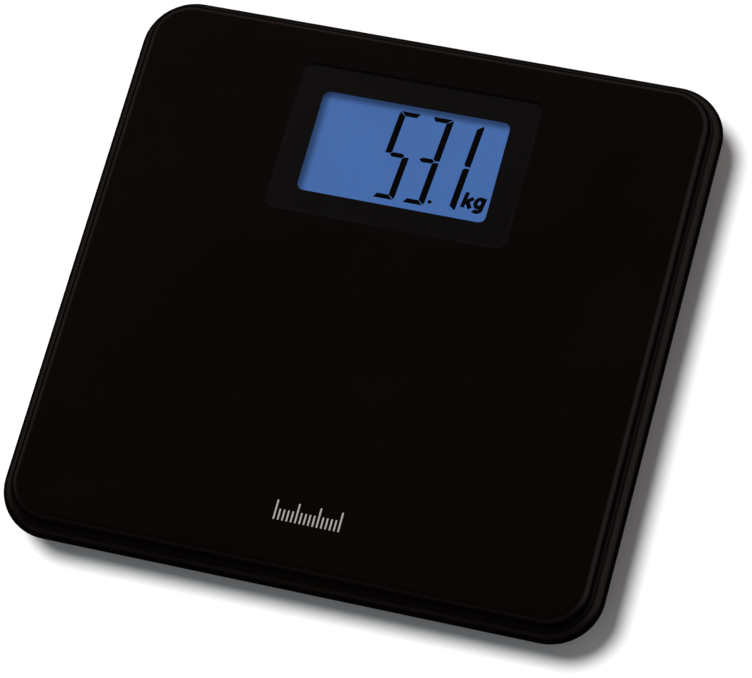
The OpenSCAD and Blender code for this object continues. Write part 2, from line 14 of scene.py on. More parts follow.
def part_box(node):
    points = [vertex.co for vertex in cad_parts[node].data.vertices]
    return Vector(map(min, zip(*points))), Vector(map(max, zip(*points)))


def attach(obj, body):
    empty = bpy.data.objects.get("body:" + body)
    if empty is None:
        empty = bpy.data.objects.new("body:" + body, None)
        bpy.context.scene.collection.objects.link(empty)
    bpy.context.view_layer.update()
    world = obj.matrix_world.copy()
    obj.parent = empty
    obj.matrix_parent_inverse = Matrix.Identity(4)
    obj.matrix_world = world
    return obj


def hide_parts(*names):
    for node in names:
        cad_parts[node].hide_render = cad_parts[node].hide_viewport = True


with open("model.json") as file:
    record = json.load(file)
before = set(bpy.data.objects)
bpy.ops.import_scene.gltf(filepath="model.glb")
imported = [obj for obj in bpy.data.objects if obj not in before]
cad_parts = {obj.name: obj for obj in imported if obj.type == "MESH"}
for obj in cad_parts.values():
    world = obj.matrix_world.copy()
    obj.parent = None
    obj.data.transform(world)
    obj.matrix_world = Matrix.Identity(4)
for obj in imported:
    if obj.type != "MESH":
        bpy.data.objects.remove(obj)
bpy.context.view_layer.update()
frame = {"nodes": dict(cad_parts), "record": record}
nodes = frame["nodes"]
MM = 0.001

# ---- Sizes that follow the CAD model, in millimetres ----

case_lo, case_hi = (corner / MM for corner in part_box("base_tray"))
cover_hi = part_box("platform_cover")[1] / MM
window_lo, window_hi = (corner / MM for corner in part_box("display_window"))
mask_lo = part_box("window_mask")[0] / MM
lcd_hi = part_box("lcd_panel")[1] / MM
button_lo, button_hi = (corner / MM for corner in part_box("unit_button"))

HALF_W = case_hi.x
HALF_D = case_hi.y
BASE_Z = case_lo.z
PRINT_T = 0.02  # the field lies this much low, so that its print stays inside the CAD box
TOP_Z = cover_hi.z - PRINT_T
CORNER_R = 26
COVER_W = HALF_W - cover_hi.x
COVER_FILLET = 3.8
COVER_WALL = 2.4
BEAD_R = 5.2
RIM_Z = 20.3
CASE_WALL = 2.2
LOW_R = 4
SIDE_SLOPE = math.radians(28)
SKIRT_Z = 16
FLOOR_Z = BASE_Z + CASE_WALL
CEILING_Z = TOP_Z - COVER_WALL
LEDGE_Z = mask_lo.z - 2

WINDOW_Y = (window_lo.y + window_hi.y) / 2
WINDOW_R = 4.5
POCKET_GAP = 0.4
VIEW_Y = WINDOW_Y - 0.7
VIEW_HALF_W = 48.1
VIEW_HALF_D = 27.3

FOOT_X = HALF_W - 40
FOOT_Y = HALF_D - 40
WELL_R = 26
WELL_OUTER_R = 28
WELL_ROOF_Z = 17.5
WELL_ROOF_T = 2
ROOF_GAP_HALF_W = 10
ROOF_GAP_HALF_D = 14
CASE_SCREWS = [
    (x * sx, y * sy) for x, y in ((126, 42), (42, 130)) for sx in (-1, 1) for sy in (-1, 1)
]
CASE_SCREWS += [(-70, -14), (70, -14)]
SCREW_BORE_R = 3.2

BAY_Y = -10
BAY_HALF_W = 31
BAY_HALF_D = 29
BAY_TOP_Z = 24.9
BAY_WALL = 2
BAY_LEDGE = 4

LARGE_STEPS = 24  # in a quarter turn of a large corner
SMALL_STEPS = 8  # in a quarter turn of a small corner
CIRCLE_STEPS = 48  # round a circle
WELL_STEPS = 96  # round a foot well


# ---- Mesh building ----


def rounded_loop(cx, cy, half_w, half_d, radius, z, steps=SMALL_STEPS):
    """Points in millimetres round a rectangle with round corners, anticlockwise from above."""
    if radius <= 0:
        return [
            Vector((cx + sx * half_w, cy + sy * half_d, z))
            for sx, sy in ((1, 1), (-1, 1), (-1, -1), (1, -1))
        ]
    points = []
    for quarter, (sx, sy) in enumerate(((1, 1), (-1, 1), (-1, -1), (1, -1))):
        for i in range(steps + 1):
            a = math.radians(90) * (quarter + i / steps)
            x = cx + sx * (half_w - radius) + radius * math.cos(a)
            y = cy + sy * (half_d - radius) + radius * math.sin(a)
            points.append(Vector((x, y, z)))
    return points


def circle_loop(cx, cy, radius, z, steps=CIRCLE_STEPS):
    turn = 2 * math.pi / steps
    return [
        Vector((cx + radius * math.cos(k * turn), cy + radius * math.sin(k * turn), z))
        for k in range(steps)
    ]


def edge_loop(inset, z):
    """Loop round the body's plan outline, moved in from the widest line."""
    return rounded_loop(
        0, 0, HALF_W - inset, HALF_D - inset, CORNER_R - inset, z, LARGE_STEPS
    )


def arc(cx, cy, radius, start, end, steps):
    """Points of an arc in a section, from one angle to another in radians."""
    return [
        (
            cx + radius * math.cos(start + (end - start) * k / steps),
            cy + radius * math.sin(start + (end - start) * k / steps),
        )
        for k in range(steps + 1)
    ]


class Shell:
    """One mesh made of point loops, skins between loops and flat fills."""

    def __init__(self):
        self.bm = bmesh.new()

    def ring(self, points):
        return [self.bm.verts.new(p * MM) for p in points]

    def skin(self, a, b):
        for i in range(len(a)):
            j = (i + 1) % len(a)
            self.bm.faces.new((a[i], a[j], b[j], b[i]))

    def chain(self, first, loops):
        """Skins from a ring through more loops, and returns the last one's ring."""
        for loop in loops:
            following = self.ring(loop)
            self.skin(first, following)
            first = following
        return first

    def flat(self, *rings):
        """Fills a flat area: the first ring is its outline and the others are holes."""
        edges = [
            self.bm.edges.get((a, b)) or self.bm.edges.new((a, b))
            for ring in rings
            for a, b in zip(ring, ring[1:] + ring[:1])
        ]
        bmesh.ops.triangle_fill(
            self.bm, use_beauty=True, use_dissolve=False, edges=edges, normal=(0, 0, 1)
        )

    def prism(self, points, z0, z1):
        """A flat outline given height: points are in a plane seen from above."""
        low = self.ring([Vector((x, y, z0)) for x, y in points])
        high = self.ring([Vector((x, y, z1)) for x, y in points])
        self.skin(low, high)
        self.bm.faces.new(low[::-1])
        self.bm.faces.new(high)

    def build(self, name, material, body, replaces=(), sharp=35):
        bmesh.ops.recalc_face_normals(self.bm, faces=self.bm.faces)
        mesh = bpy.data.meshes.new(name)
        self.bm.to_mesh(mesh)
        self.bm.free()
        mesh.polygons.foreach_set("use_smooth", [True] * len(mesh.polygons))
        mesh.set_sharp_from_angle(angle=math.radians(sharp))
        mesh.materials.append(material)
        obj = bpy.data.objects.new(name, mesh)
        bpy.context.scene.collection.objects.link(obj)
        weighted = obj.modifiers.new("weighted_normals", "WEIGHTED_NORMAL")
        weighted.keep_sharp = True
        weighted.weight = 100
        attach(obj, body)
        if replaces:
            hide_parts(*replaces)
        return obj


# ---- Materials ----


class Look:
    """A Principled material with patterns in the object's own space."""

    def __init__(self, name, colour, roughness, **sockets):
        self.material = bpy.data.materials.new(name)
        self.material.use_nodes = True
        self.tree = self.material.node_tree
        self.shader = self.tree.nodes["Principled BSDF"]
        self.shader.inputs["Base Color"].default_value = (*colour, 1)
        self.shader.inputs["Roughness"].default_value = roughness
        for socket, value in sockets.items():
            self.shader.inputs[socket.replace("_", " ")].default_value = value
        self.coords = self.tree.nodes.new("ShaderNodeTexCoord").outputs["Object"]

    def link(self, source, target):
        self.tree.links.new(source, target)

    def node(self, kind, **inputs):
        made = self.tree.nodes.new(kind)
        for name, value in inputs.items():
            made.inputs[name.replace("_", " ")].default_value = value
        return made

    def stretched(self, scale):
        """The object's coordinates, scaled by axis."""
        mapping = self.node("ShaderNodeMapping", Scale=scale)
        self.link(self.coords, mapping.inputs["Vector"])
        return mapping.outputs["Vector"]

    def noise(self, scale, detail=4.0, roughness=0.55, stretch=None):
        made = self.node("ShaderNodeTexNoise", Scale=scale, Detail=detail, Roughness=roughness)
        self.link(self.stretched(stretch) if stretch else self.coords, made.inputs["Vector"])
        return made.outputs["Fac"]

    def cells(self, scale, feature="F1", stretch=None):
        made = self.node("ShaderNodeTexVoronoi", Scale=scale)
        made.feature = feature
        self.link(self.stretched(stretch) if stretch else self.coords, made.inputs["Vector"])
        return made.outputs["Distance"]

    def axis(self, name):
        """One of the object's own coordinates, in metres."""
        split = self.tree.nodes.new("ShaderNodeSeparateXYZ")
        self.link(self.coords, split.inputs["Vector"])
        return split.outputs[name]

    def spread(self, source, low, high, begin=0.35, end=0.65, shape="LINEAR"):
        """Maps a pattern's range onto low to high."""
        made = self.node(
            "ShaderNodeMapRange", From_Min=begin, From_Max=end, To_Min=low, To_Max=high
        )
        made.interpolation_type = shape
        self.link(source, made.inputs["Value"])
        return made.outputs["Result"]

    def maths(self, operation, a, b):
        made = self.tree.nodes.new("ShaderNodeMath")
        made.operation = operation
        for socket, value in zip(made.inputs, (a, b)):
            if isinstance(value, (int, float)):
                socket.default_value = value
            else:
                self.link(value, socket)
        return made.outputs["Value"]

    def blend(self, factor, dark, light):
        """A colour between two, by a pattern."""
        made = self.tree.nodes.new("ShaderNodeMix")
        made.data_type = "RGBA"
        self.link(factor, made.inputs["Factor"])
        for socket, value in ((made.inputs[6], dark), (made.inputs[7], light)):
            if isinstance(value, tuple):
                socket.default_value = (*value, 1)
            else:
                self.link(value, socket)
        return made.outputs[2]

    def set(self, socket, source):
        self.link(source, self.shader.inputs[socket])

    def bump(self, source, depth_mm, strength=0.5, under=None):
        """Adds relief of a given depth."""
        made = self.node("ShaderNodeBump", Strength=strength, Distance=depth_mm * MM)
        self.link(source, made.inputs["Height"])
        if under:
            self.link(under, made.inputs["Normal"])
        return made.outputs["Normal"]


def moulded(name, colour, roughness, grain=900, depth=0.01, vary=0.15, specular=0.5):
    """Injection-moulded plastic: fine grain, cloudy gloss and a slight change of tone."""
    look = Look(name, colour, roughness, Specular_IOR_Level=specular)
    cloud = look.noise(14, detail=3)
    grain_pattern = look.noise(grain, detail=2)
    dark = tuple(c * (1 - vary) for c in colour)
    light = tuple(c * (1 + vary) for c in colour)
    look.set("Base Color", look.blend(look.spread(cloud, 0, 1), dark, light))
    gloss = look.spread(cloud, roughness * 0.92, roughness * 1.08)
    look.set("Roughness", gloss)
    look.set("Normal", look.bump(grain_pattern, depth, 0.4))
    return look.material


def metal(name, colour, roughness, stretch, depth=0.01):
    """Rolled or turned metal, with fine lines along one direction and dull patches."""
    look = Look(name, colour, roughness, Metallic=1.0)
    lines = look.noise(500, detail=3, stretch=stretch)
    patches = look.noise(60, detail=4)
    dark = tuple(c * 0.8 for c in colour)
    look.set("Base Color", look.blend(look.spread(patches, 0, 1), dark, colour))
    streaks = look.spread(lines, -0.07, 0.07)
    wear = look.spread(patches, roughness * 0.8, roughness * 1.2)
    look.set("Roughness", look.maths("ADD", streaks, wear))
    look.set("Normal", look.bump(lines, depth, 0.3))
    return look.material


def rubbery(name, colour, roughness, depth=0.03, **sockets):
    """Soft moulded or extruded rubber: dull, with fine pores."""
    look = Look(name, colour, roughness, **sockets)
    pores = look.cells(1400)
    cloud = look.noise(90, detail=5)
    dark = tuple(c * 0.75 for c in colour)
    look.set("Base Color", look.blend(look.spread(cloud, 0, 1), dark, colour))
    look.set("Roughness", look.spread(cloud, roughness * 0.9, min(1.0, roughness * 1.15)))
    look.set("Normal", look.bump(pores, depth, 0.35))
    return look.material


def acrylic():
    """Clear window sheet with the faintest haze."""
    look = Look(
        "window_acrylic", (0.94, 0.95, 0.96), 0.02,
        IOR=1.49, Transmission_Weight=1.0, Specular_IOR_Level=0.25,
    )
    haze = look.noise(40, detail=5)
    look.set("Roughness", look.spread(haze, 0.008, 0.03))
    look.set("Normal", look.bump(look.noise(9, detail=1), 0.02, 0.05))
    return look.material


LCD_BLUE = (0.066, 0.160, 0.428)


def backlit_lcd():
    """Blue LCD glass that glows, with shade painted into its glow along its rear and left edges,
    where shade from the window frame would fall.
    """
    look = Look("lcd", (0.01, 0.03, 0.09), 0.35, Emission_Strength=1.0)
    across = look.maths("MULTIPLY", look.axis("X"), 1 / MM)
    along = look.maths("MULTIPLY", look.axis("Y"), 1 / MM)
    rear = VIEW_Y + VIEW_HALF_D
    left = -VIEW_HALF_W
    darkest = 0.36  # share of the glow that is left at an edge, where the painted shade is darkest
    rear_reach, left_reach, past_edge = 4.4, 4.9, 0.2
    # Painted shade: the glow dims towards the rear and left edges of the view opening
    rear_shade = look.spread(
        along, 1.0, darkest, rear - rear_reach, rear + past_edge, "SMOOTHSTEP"
    )
    left_shade = look.spread(across, darkest, 1.0, left, left + left_reach, "SMOOTHSTEP")
    painted_shade = look.maths("MULTIPLY", rear_shade, left_shade)
    cloud = look.spread(look.noise(30, detail=3), 0.97, 1.03)
    level = look.maths("MULTIPLY", painted_shade, cloud)
    # The painted shade blends the glow towards a near-black blue
    dark = tuple(0.02 * c for c in LCD_BLUE)
    look.set("Emission Color", look.blend(level, dark, LCD_BLUE))
    look.set("Roughness", look.spread(look.noise(200), 0.3, 0.4))
    return look.material


def board_look():
    """Green solder mask over copper tracks."""
    look = Look("board", (0.02, 0.16, 0.06), 0.35)
    tracks = look.tree.nodes.new("ShaderNodeTexBrick")
    look.link(look.coords, tracks.inputs["Vector"])
    sizes = {"Scale": 120.0, "Mortar Size": 0.012, "Brick Width": 1.6, "Row Height": 0.22}
    for name, value in sizes.items():
        tracks.inputs[name].default_value = value
    cloud = look.spread(look.noise(70, detail=5), 0, 1)
    green = look.blend(cloud, (0.012, 0.11, 0.045), (0.02, 0.17, 0.07))
    look.set("Base Color", look.blend(tracks.outputs["Fac"], green, (0.05, 0.27, 0.10)))
    look.set("Roughness", look.spread(cloud, 0.28, 0.42, 0, 1))
    look.set("Normal", look.bump(tracks.outputs["Fac"], 0.035, 0.6))
    return look.material


def zebra_look():
    """Rubber connector made of alternate black and pale layers."""
    look = Look("zebra", (0.3, 0.3, 0.32), 0.6)
    bands = look.node("ShaderNodeTexWave", Scale=480.0, Distortion=0.4)
    look.link(look.coords, bands.inputs["Vector"])
    stripe = look.spread(bands.outputs["Fac"], 0, 1, 0.4, 0.6)
    look.set("Base Color", look.blend(stripe, (0.02, 0.02, 0.02), (0.55, 0.55, 0.56)))
    look.set("Roughness", look.spread(stripe, 0.75, 0.5, 0, 1))
    look.set("Normal", look.bump(stripe, 0.02, 0.4))
    return look.material


def sleeve_look():
    """Plain cell: a printed sleeve, with bare metal at both ends and one pale ring."""
    look = Look("cell_can", (0.1, 0.11, 0.13), 0.3)
    y = look.maths("MULTIPLY", look.axis("Y"), 1 / MM)
    along = look.maths("ABSOLUTE", look.maths("SUBTRACT", y, BAY_Y), 0)
    sleeve_end, ring_start, ring_end, fade = 24.3, 18.0, 19.5, 0.1
    bare = look.spread(along, 0, 1, sleeve_end, sleeve_end + 2 * fade)
    ring_begins = look.spread(along, 0, 1, ring_start, ring_start + fade)
    ring_ends = look.spread(along, 1, 0, ring_end, ring_end + fade)
    ring = look.maths("MULTIPLY", ring_begins, ring_ends)
    scuffs = look.spread(look.noise(260, detail=6), 0, 1, 0.5, 0.75)
    print_tone = look.blend(scuffs, (0.05, 0.09, 0.15), (0.075, 0.12, 0.19))
    ringed = look.blend(ring, print_tone, (0.55, 0.56, 0.58))
    look.set("Base Color", look.blend(bare, ringed, (0.62, 0.61, 0.59)))
    look.set("Metallic", bare)
    look.set("Roughness", look.spread(scuffs, 0.24, 0.4, 0, 1))
    look.set("Normal", look.bump(look.noise(700, detail=2), 0.01, 0.3))
    return look.material


def light_guide_look():
    """Clear light guide with rows of printed dots."""
    look = Look("light_guide", (0.75, 0.85, 0.95), 0.2, IOR=1.5)
    dots = look.cells(600)
    dot = look.spread(dots, 1, 0, 0.25, 0.35)
    look.set("Base Color", look.blend(dot, (0.60, 0.72, 0.85), (0.92, 0.95, 0.98)))
    look.set("Roughness", look.spread(dot, 0.12, 0.55, 0, 1))
    look.set("Normal", look.bump(dot, 0.01, 0.4))
    return look.material


def ink(name, colour, roughness, **sockets):
    """A thin print, a little uneven."""
    look = Look(name, colour, roughness, **sockets)
    cloud = look.spread(look.noise(1200, detail=4), 0, 1)
    dark = tuple(c * 0.88 for c in colour)
    look.set("Base Color", look.blend(cloud, dark, colour))
    look.set("Roughness", look.spread(cloud, roughness * 0.9, roughness * 1.1, 0, 1))
    look.set("Normal", look.bump(cloud, 0.004, 0.3))
    return look.material


COVER_BLACK = (0.0017, 0.0007, 0.0006)
CASE_BLACK = (0.0014, 0.0008, 0.0006)

looks = {
    "cover_plastic": moulded("cover_plastic", COVER_BLACK, 0.2, grain=1500, depth=0.003),
    "case_plastic": moulded("case_plastic", CASE_BLACK, 0.2, grain=1200, depth=0.004),
    "window_acrylic": acrylic(),
    "mask_print": ink("mask_print", (0.0016, 0.0012, 0.0010), 0.3, Specular_IOR_Level=0.7),
    "lcd": backlit_lcd(),
    "holder_plastic": moulded("holder_plastic", (0.78, 0.78, 0.76), 0.45),
    "light_guide": light_guide_look(),
    "led": moulded("led", (0.88, 0.82, 0.45), 0.3, grain=3000),
    "zebra": zebra_look(),
    "board": board_look(),
    "epoxy": moulded("epoxy", (0.012, 0.012, 0.013), 0.16, grain=200, depth=0.05),
    "component": moulded("component", (0.10, 0.10, 0.11), 0.5, grain=2500, depth=0.02),
    "switch_plastic": moulded("switch_plastic", (0.04, 0.04, 0.042), 0.4),
    "plunger_plastic": moulded("plunger_plastic", (0.55, 0.05, 0.04), 0.4),
    "button_plastic": moulded("button_plastic", (0.30, 0.31, 0.32), 0.42, depth=0.02),
    "cell_can": sleeve_look(),
    "contact_steel": metal("contact_steel", (0.72, 0.70, 0.66), 0.22, (1, 1, 12)),
    "screw_steel": metal("screw_steel", (0.60, 0.60, 0.59), 0.3, (1, 1, 8)),
    "cell_steel": metal("cell_steel", (0.62, 0.63, 0.64), 0.34, (1, 14, 1)),
    "gauge_foil": metal("gauge_foil", (0.76, 0.50, 0.22), 0.35, (16, 1, 1)),
    "silicone": rubbery("silicone", (0.85, 0.85, 0.82), 0.5, Subsurface_Weight=0.15),
    "foot_plastic": moulded("foot_plastic", (0.018, 0.018, 0.018), 0.42, grain=700, depth=0.02),
    "pad_rubber": rubbery("pad_rubber", (0.05, 0.05, 0.052), 0.75),
    "lead_grey": rubbery("lead_grey", (0.30, 0.30, 0.31), 0.45, depth=0.01),
    "lead_red": rubbery("lead_red", (0.52, 0.035, 0.03), 0.42, depth=0.01),
    "lead_black": rubbery("lead_black", (0.02, 0.02, 0.02), 0.42, depth=0.01),
}


def dress_cad_nodes():
    """Gives each CAD node the look of its record slot, and softens the edges of those in view."""
    edged = (
        "cell_retainer", "foot_cup", "foot_pad", "case_screws", "retainer_screws",
        "unit_button", "battery_door",
    )
    for part in frame["record"]["subparts"]:
        obj = nodes[part["node"]]
        obj.data.materials.clear()
        obj.data.materials.append(looks[part["material_slot"]])
        if part["node"].startswith(edged):
            weld = obj.modifiers.new("weld", "WELD")
            weld.merge_threshold = 0.002 * MM
            bevel = obj.modifiers.new("edges", "BEVEL")
            bevel.width = 0.12 * MM
            bevel.segments = 2
            bevel.limit_method = "ANGLE"
            bevel.angle_limit = math.radians(50)
            bevel.use_clamp_overlap = True
            weighted = obj.modifiers.new("weighted_normals", "WEIGHTED_NORMAL")
            weighted.weight = 100


# ---- Platform cover ----


def cover_shell():
    """The platform: its field, filleted edge and skirt, with the pocket for the display window."""
    shell = Shell()
    fillet_w = COVER_W + COVER_FILLET
    fillet_z = TOP_Z - COVER_FILLET
    inner_r = COVER_FILLET - COVER_WALL
    crown_z = RIM_Z + BEAD_R
    bottom = shell.ring(edge_loop(COVER_W, SKIRT_Z))
    # The foot of the wall flares out over the seam with the case's bead
    cove_r = 0.6
    foot_w = COVER_W - cove_r
    outer = [(COVER_W, crown_z - 0.1), (COVER_W - 0.2, crown_z + 0.04), (foot_w, crown_z + 0.04)]
    outer += arc(foot_w, crown_z + 0.08 + cove_r, cove_r, -math.pi / 2, 0, 6)
    outer += arc(fillet_w, fillet_z, COVER_FILLET, math.pi, math.pi / 2, 12)
    field = shell.chain(bottom, [edge_loop(w, z) for w, z in outer])
    inner = arc(fillet_w, fillet_z, inner_r, math.pi, math.pi / 2, 4)
    inner_bottom = shell.ring(edge_loop(COVER_W + COVER_WALL, SKIRT_Z))
    ceiling = shell.chain(inner_bottom, [edge_loop(w, z) for w, z in inner])
    shell.skin(bottom, inner_bottom)

    edge_r = 0.3
    half_w = window_hi.x + POCKET_GAP
    half_d = (window_hi.y - window_lo.y) / 2 + POCKET_GAP
    radius = WINDOW_R + POCKET_GAP

    def pocket_loop(grow, z):
        return rounded_loop(0, WINDOW_Y, half_w + grow, half_d + grow, radius + grow, z)

    lip = arc(edge_r, TOP_Z - edge_r, edge_r, math.pi / 2, math.pi, 4)
    rim = shell.ring(pocket_loop(*lip[0]))
    shell.flat(field, rim)
    floor_loops = [pocket_loop(grow, z) for grow, z in lip[1:]]
    pocket = shell.chain(rim, floor_loops + [pocket_loop(0, mask_lo.z)])
    opening_margin, opening_r = 2, 4
    opening = (
        0, VIEW_Y, VIEW_HALF_W + opening_margin, VIEW_HALF_D + opening_margin, opening_r
    )
    well = shell.ring(rounded_loop(*opening, mask_lo.z))
    shell.flat(pocket, well)
    under = shell.chain(well, [rounded_loop(*opening, LEDGE_Z)])
    frame_wall, frame_r = 2.5, 6.5
    frame_loop = (0, WINDOW_Y, window_hi.x + frame_wall, half_d - POCKET_GAP + frame_wall, frame_r)
    frame_low = shell.ring(rounded_loop(*frame_loop, LEDGE_Z))
    shell.flat(frame_low, under)
    frame_high = shell.chain(frame_low, [rounded_loop(*frame_loop, CEILING_Z)])
    shell.flat(ceiling, frame_high)
    return shell.build(
        "cover_shell", looks["cover_plastic"], "case", ["platform_cover"]
    )


# ---- Lower case ----


def case_section():
    """Points (inset, height) of the outer side, bead to underside, and the inner side back up."""
    slope_angle = math.pi + SIDE_SLOPE
    slope_top = RIM_Z - BEAD_R * math.sin(SIDE_SLOPE)
    slope_foot = BASE_Z + LOW_R - LOW_R * math.sin(SIDE_SLOPE)
    reach = slope_top - slope_foot
    low_w = BEAD_R + (LOW_R - BEAD_R) * math.cos(SIDE_SLOPE) + reach * math.tan(SIDE_SLOPE)
    low_z = BASE_Z + LOW_R
    outer = arc(BEAD_R, RIM_Z, BEAD_R, math.radians(92), slope_angle, 22)
    outer += arc(low_w, low_z, LOW_R, slope_angle, 1.5 * math.pi, 6)
    inner = arc(low_w, low_z, LOW_R - CASE_WALL, 1.5 * math.pi, slope_angle, 5)
    inner += arc(BEAD_R, RIM_Z, BEAD_R - CASE_WALL, slope_angle, math.pi / 2, 10)
    return outer, inner


def lower_case():
    """The case: rounded rim bead, sloping sides, floor with its wells, bores, bay and recesses."""
    shell = Shell()
    outer, inner = case_section()
    lip_r = 0.22
    lip = arc(BEAD_R - lip_r, RIM_Z + BEAD_R - lip_r, lip_r, 0, math.radians(88), 4)
    lip_loops = [edge_loop(w, z) for w, z in lip]
    start = shell.ring(lip_loops[0])
    underside = shell.chain(start, lip_loops[1:] + [edge_loop(w, z) for w, z in outer])
    floor = shell.ring(edge_loop(*inner[0]))
    inner_top = shell.chain(floor, [edge_loop(w, z) for w, z in inner[1:]])
    shell.skin(inner_top, start)

    holes_below, holes_above = [], []

    def bore(cx, cy, radius, z0=BASE_Z, z1=FLOOR_Z, chamfer=0.25, steps=CIRCLE_STEPS):
        """A hole up from the underside, with a chamfered lower edge."""
        low = shell.ring(circle_loop(cx, cy, radius + chamfer, z0, steps))
        holes_below.append(low)
        sides = [circle_loop(cx, cy, radius, z, steps) for z in (z0 + chamfer, z1)]
        return shell.chain(low, sides)

    for cx, cy in CASE_SCREWS:
        holes_above.append(bore(cx, cy, SCREW_BORE_R))

    for sx in (-1, 1):
        for sy in (-1, 1):
            cx, cy = sx * FOOT_X, sy * FOOT_Y
            roof = bore(cx, cy, WELL_R, z1=WELL_ROOF_Z, steps=WELL_STEPS)
            gap = (cx, cy, ROOF_GAP_HALF_W, ROOF_GAP_HALF_D, 0)
            window = shell.ring(rounded_loop(*gap, WELL_ROOF_Z))
            shell.flat(roof, window)
            top_z = WELL_ROOF_Z + WELL_ROOF_T
            window_top = shell.chain(window, [rounded_loop(*gap, top_z)])
            roof_top = shell.ring(circle_loop(cx, cy, WELL_OUTER_R, top_z, WELL_STEPS))
            shell.flat(roof_top, window_top)
            outside = [circle_loop(cx, cy, WELL_OUTER_R, FLOOR_Z, WELL_STEPS)]
            holes_above.append(shell.chain(roof_top, outside))

    # Unit button: a dished recess and its hole
    bx = (button_lo.x + button_hi.x) / 2
    by = (button_lo.y + button_hi.y) / 2
    dish_r, dish_depth, dish_taper = 6.5, 0.6, 0.3
    hole_r, hole_chamfer, chamfer_depth = 4.5, 0.1, 0.15
    dish = shell.ring(circle_loop(bx, by, dish_r + dish_taper, BASE_Z))
    holes_below.append(dish)
    dish_z = BASE_Z + dish_depth
    dish_floor = shell.chain(dish, [circle_loop(bx, by, dish_r, dish_z)])
    hole = shell.ring(circle_loop(bx, by, hole_r + hole_chamfer, dish_z))
    shell.flat(dish_floor, hole)
    hole_sides = [circle_loop(bx, by, hole_r, z) for z in (dish_z + chamfer_depth, FLOOR_Z)]
    holes_above.append(shell.chain(hole, hole_sides))

    # Blank label recess and gripping grooves
    def recess(cx, cy, half_w, half_d, radius, depth, edge=0.15):
        low = shell.ring(rounded_loop(cx, cy, half_w + edge, half_d + edge, radius + edge, BASE_Z))
        holes_below.append(low)
        shell.flat(shell.chain(low, [rounded_loop(cx, cy, half_w, half_d, radius, BASE_Z + depth)]))

    label_y, label_half_w, label_half_d = -84, 48, 17
    recess(0, label_y, label_half_w, label_half_d, 3, 0.3)
    groove_x, groove_pitch, groove_y = 58, 9, 30
    for side in (-1, 1):
        for k in range(3):
            recess(side * (groove_x + groove_pitch * k), groove_y, 1.5, 35, 1.4, 0.7)

    # Door recess, hinge groove, battery bay with its walls and ledge
    ledge_w = BAY_HALF_W + BAY_LEDGE
    ledge_d = BAY_HALF_D + BAY_LEDGE
    chamfer, lip, groove_half, groove_depth, bay_roof = 0.2, 0.1, 1.8, 1.1, 1.6
    mouth = shell.ring(rounded_loop(0, BAY_Y, ledge_w + chamfer, ledge_d + chamfer, 0, BASE_Z))
    holes_below.append(mouth)
    seat = shell.chain(
        mouth,
        [rounded_loop(0, BAY_Y, ledge_w, ledge_d, 0, z) for z in (BASE_Z + chamfer, FLOOR_Z)],
    )
    groove = (0, BAY_Y - ledge_d + groove_half + lip, ledge_w - lip, groove_half, 0)
    groove_low = shell.ring(rounded_loop(*groove, FLOOR_Z))
    shell.flat(shell.chain(groove_low, [rounded_loop(*groove, FLOOR_Z + groove_depth)]))
    bay_low = shell.ring(rounded_loop(0, BAY_Y, BAY_HALF_W, BAY_HALF_D, 0, FLOOR_Z))
    shell.flat(seat, bay_low, groove_low)
    bay_high = rounded_loop(0, BAY_Y, BAY_HALF_W, BAY_HALF_D, 0, BAY_TOP_Z - bay_roof)
    shell.flat(shell.chain(bay_low, [bay_high]))
    box = (0, BAY_Y, BAY_HALF_W + BAY_WALL, BAY_HALF_D + BAY_WALL, 0)
    box_top = shell.ring(rounded_loop(*box, BAY_TOP_Z))
    shell.flat(box_top)
    ledge_z = FLOOR_Z + BAY_WALL
    box_low = shell.chain(box_top, [rounded_loop(*box, ledge_z)])
    ledge = (0, BAY_Y, BAY_HALF_W + 2 * BAY_LEDGE, BAY_HALF_D + 2 * BAY_LEDGE - BAY_WALL, 0)
    ledge_top = shell.ring(rounded_loop(*ledge, ledge_z))
    shell.flat(ledge_top, box_low)
    holes_above.append(shell.chain(ledge_top, [rounded_loop(*ledge, FLOOR_Z)]))

    shell.flat(underside, *holes_below)
    shell.flat(floor, *holes_above)
    return shell.build("lower_case", looks["case_plastic"], "case", ["base_tray"])


# ---- Display ----


def window_sheet():
    """The flush window: a clear sheet with a polished edge."""
    shell = Shell()
    edge, low_bevel, gap = 0.12, 0.1, 0.05
    half_w = window_hi.x
    half_d = (window_hi.y - window_lo.y) / 2

    def sheet_loop(inset, z):
        return rounded_loop(0, WINDOW_Y, half_w - inset, half_d - inset, WINDOW_R - inset, z, 12)

    low = shell.ring(sheet_loop(low_bevel, window_lo.z + gap))
    shell.flat(low)
    rounding = arc(edge, window_hi.z - edge, edge, math.pi, math.pi / 2, 5)
    loops = [sheet_loop(0, window_lo.z + gap + low_bevel)]
    loops += [sheet_loop(w, z) for w, z in rounding]
    shell.flat(shell.chain(low, loops))
    return shell.build(
        "window_sheet", looks["window_acrylic"], "case", ["display_window"]
    )


DIGIT_LOW = 56.3
DIGIT_HIGH = 104.15
DIGIT_MID = 80.3
DIGIT_LEAN = 0.075
DIGIT_STROKES = 9.15
STROKE_HALF = 1.68
BAR = 2.45
LIT = {"1": "bc", "3": "abcdg", "5": "acdfg"}
READING = [("5", -1.14), ("3", 14.16), ("1", 29.91)]
POINT = (18.36, 58.9, 1.0)
UNIT_LOW = 59.25
UNIT_LEAN = 0.13
INK_T = 0.05


